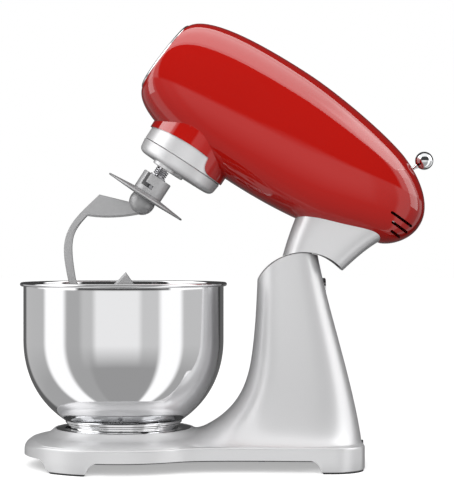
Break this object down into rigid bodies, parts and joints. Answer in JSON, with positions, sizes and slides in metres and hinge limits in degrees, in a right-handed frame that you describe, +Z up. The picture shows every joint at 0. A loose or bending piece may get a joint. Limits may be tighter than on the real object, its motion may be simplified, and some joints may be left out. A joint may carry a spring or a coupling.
{
  "type": "stand mixer",
  "caption": "Tilt-head stand mixer with raised head, planetary dough hook and locking steel bowl.",
  "frame": {"origin": "on the table under the middle of the overall box, head raised", "axes": "+Z up, +X from the bowl to the column, -Y the mixer's left side"},
  "size_m": [0.4538, 0.2268, 0.4835],
  "materials": {
    "red_paint": "gloss paint on a die casting",
    "silver_paint": "satin silver paint on a die casting",
    "bare_casting": "as cast",
    "polished_steel": "mirror polished",
    "steel": "turned",
    "chrome": "polished chrome",
    "hook_alloy": "satin burnished",
    "bronze": "plain",
    "copper_coil": "wound coil",
    "rubber": "matt",
    "black_plastic": "moulded",
    "board": "lacquered board"
  },
  "bodies": {
    "stand": {"stand_casting": "silver_paint", "base_cover": "black_plastic", "base_cover_screws": "steel", "rubber_feet": "rubber", "cord_gland": "rubber", "bowl_seat": "chrome", "bowl_seat_screws": "steel", "hinge_pin": "steel", "hinge_plug": "silver_paint", "button_bracket": "steel"},
    "head": {"head_housing": "red_paint", "rear_cap": "red_paint", "front_plate": "chrome", "hub_socket": "bare_casting", "hub_hinge_pin": "steel", "neck_casting": "silver_paint", "hinge_bracket": "bare_casting", "hinge_bushes": "bronze", "gear_case": "bare_casting", "collar_ring": "silver_paint", "ring_gear": "steel", "motor_stator": "steel", "motor_bracket": "bare_casting", "control_board": "board", "speed_switch": "black_plastic"},
    "button": {"release_button": "chrome"},
    "hub_lid": {"hub_cover": "chrome"},
    "lever": {"speed_lever": "chrome", "lever_ball": "chrome"},
    "rotor": {"motor_shaft": "steel", "motor_rotor": "copper_coil", "motor_fan": "black_plastic"},
    "carrier": {"planet_carrier": "silver_paint", "drive_shaft": "steel", "shaft_bush": "bronze"},
    "beater": {"beater_shaft": "steel", "planet_gear": "steel", "shaft_pin": "steel", "shaft_spring": "steel", "spring_washer": "steel"},
    "hook": {"hook_hub": "hook_alloy", "hook_shield": "hook_alloy", "hook_arm": "hook_alloy"},
    "bowl_body": {"bowl": "polished_steel", "bowl_foot": "polished_steel"}
  },
  "joints": [
    {"name": "head_tilt", "type": "hinge", "parent": "stand", "child": "head", "pos_m": [0.08295, 0, 0.1761], "axis": [0, -1, 0], "range_deg": [0, 33]},
    {"name": "carrier_spin", "type": "hinge", "parent": "head", "child": "carrier", "pos_m": [-0.05513, 0, 0.32408], "axis": [0.5446, 0, 0.8387], "continuous": true},
    {"name": "beater_spin", "type": "hinge", "parent": "carrier", "child": "beater", "pos_m": [-0.06459, -0.02508, 0.33022], "axis": [0.5446, 0, 0.8387], "continuous": true},
    {"name": "hook_lock", "type": "hinge", "parent": "beater", "child": "hook", "pos_m": [-0.08093, -0.02508, 0.30506], "axis": [0.5446, 0, 0.8387], "range_deg": [0, 35]},
    {"name": "rotor_spin", "type": "hinge", "parent": "head", "child": "rotor", "pos_m": [0.08156, 0, 0.35097], "axis": [0.8387, 0, -0.5446], "continuous": true},
    {"name": "speed_select", "type": "hinge", "parent": "head", "child": "lever", "pos_m": [0.17628, 0, 0.30477], "axis": [0.5821, 0, -0.8131], "range_deg": [-22, 22]},
    {"name": "hub_cover_open", "type": "hinge", "parent": "head", "child": "hub_lid", "pos_m": [-0.05117, 0, 0.47186], "axis": [0, 1, 0], "range_deg": [0, 100]},
    {"name": "head_release", "type": "slide", "parent": "stand", "child": "button", "axis": [-1, 0, 0], "range_m": [0, 0.004], "stiffness_N_per_m": 1500, "springref_m": -0.002},
    {"name": "bowl_lock", "type": "hinge", "parent": "stand", "child": "bowl_body", "pos_m": [-0.11345, 0, 0.045], "axis": [0, 0, 1], "range_deg": [0, 25]}
  ],
  "couplings": [
    {"joint": "beater_spin", "follows": "carrier_spin", "ratio": -3.75},
    {"joint": "rotor_spin", "follows": "carrier_spin", "ratio": 50}
  ]
}
